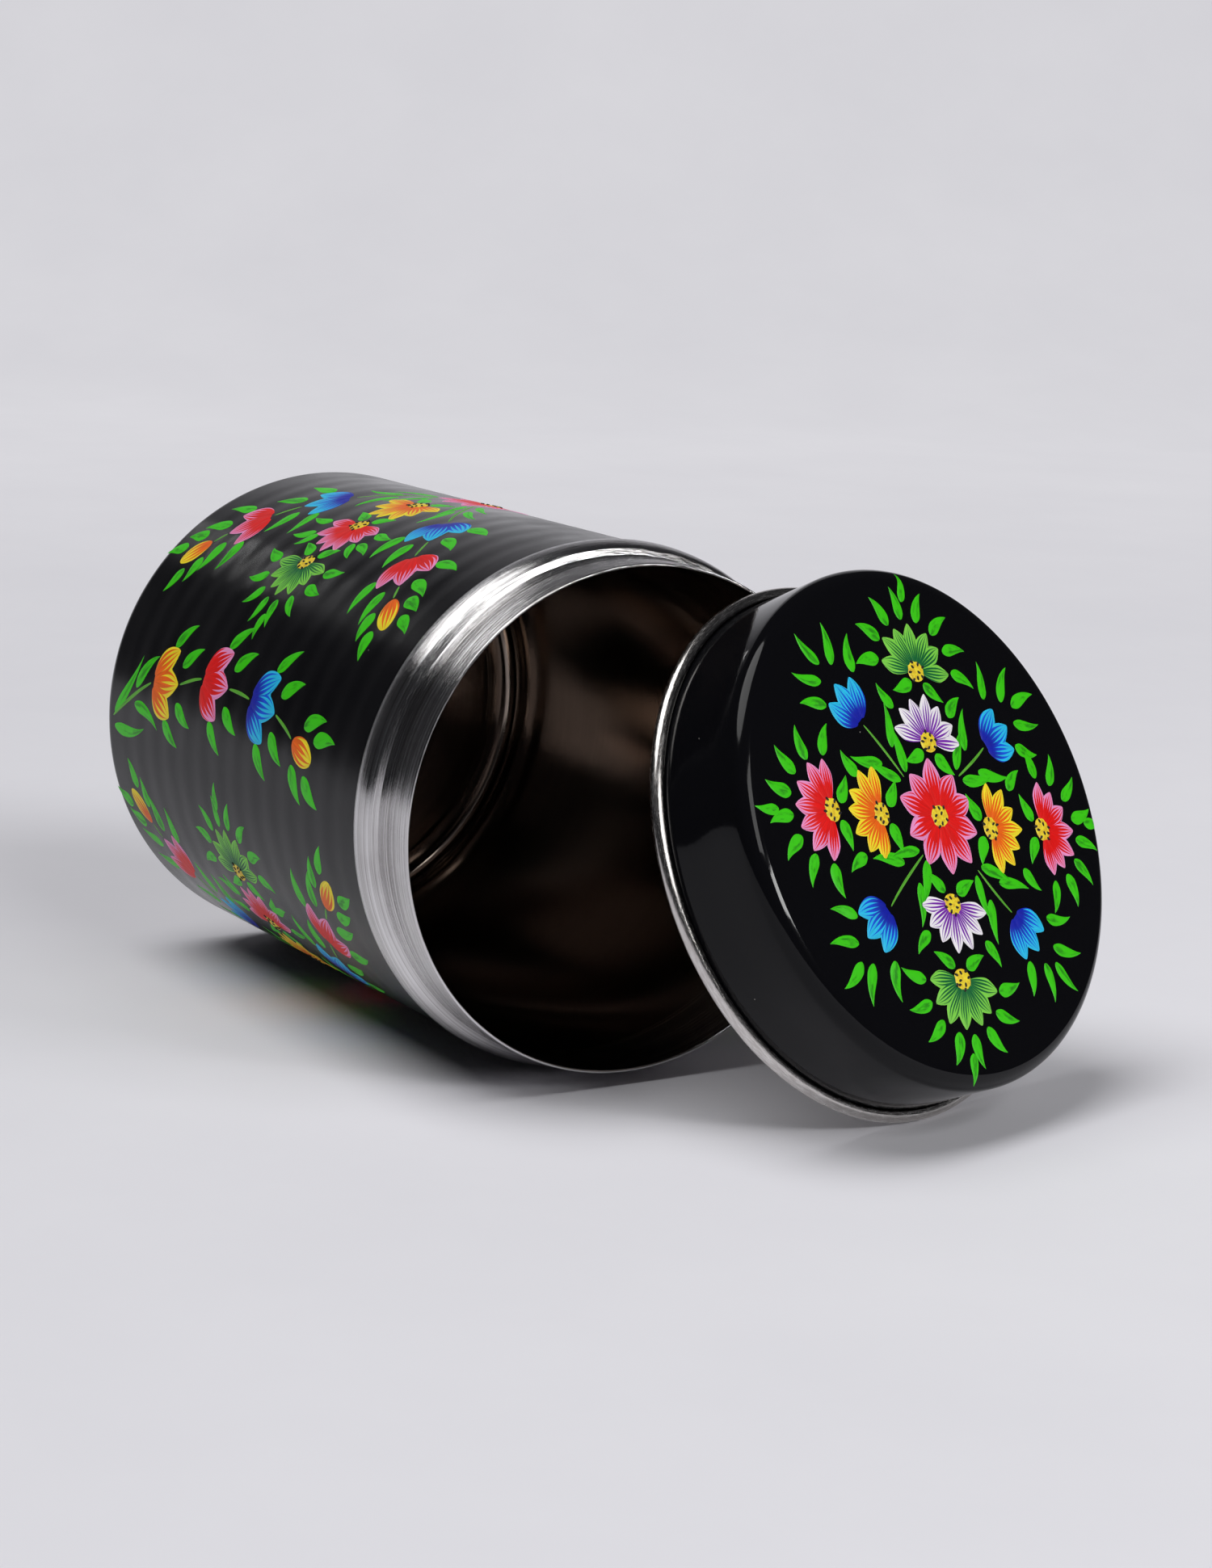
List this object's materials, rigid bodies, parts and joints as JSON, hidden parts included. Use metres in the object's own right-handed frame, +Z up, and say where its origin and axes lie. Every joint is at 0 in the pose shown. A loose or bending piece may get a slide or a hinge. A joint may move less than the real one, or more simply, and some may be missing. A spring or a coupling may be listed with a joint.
{
  "type": "painted steel canister with press-on lid",
  "caption": "Round black lacquered steel canister with painted flowers, lying on its side, its press-on lid off and leaning on the bare steel mouth.",
  "frame": {"origin": "middle of the whole object's box, on the surface that it rests on", "axes": "+X along the canister's own axis from its base to its mouth, +Z up, +Y towards the side where the lid leans"},
  "size_m": [0.2018, 0.1416, 0.105],
  "materials": {
    "wall_steel": "satin",
    "neck_steel": "polished",
    "base_steel": "satin",
    "canister_black_lacquer": "gloss",
    "lid_steel": "satin",
    "lid_rim_steel": "polished",
    "lid_black_lacquer": "gloss",
    "leaf_green_paint": "gloss",
    "deep_green_paint": "gloss",
    "red_paint": "gloss",
    "orange_paint": "gloss",
    "yellow_paint": "gloss",
    "blue_paint": "gloss",
    "purple_paint": "gloss",
    "dot_black_paint": "gloss"
  },
  "bodies": {
    "canister": {"canister_wall": "wall_steel", "base_pan": "base_steel", "neck_ring": "neck_steel", "canister_lacquer": "canister_black_lacquer"},
    "lid": {"lid_shell": "lid_steel", "lid_rolled_rim": "lid_rim_steel", "lid_lacquer": "lid_black_lacquer"}
  },
  "joints": [
    {"name": "lid_slide", "type": "slide", "parent": "canister", "child": "lid", "axis": [1, 0, 0], "range_m": [0, 0.04]}
  ]
}
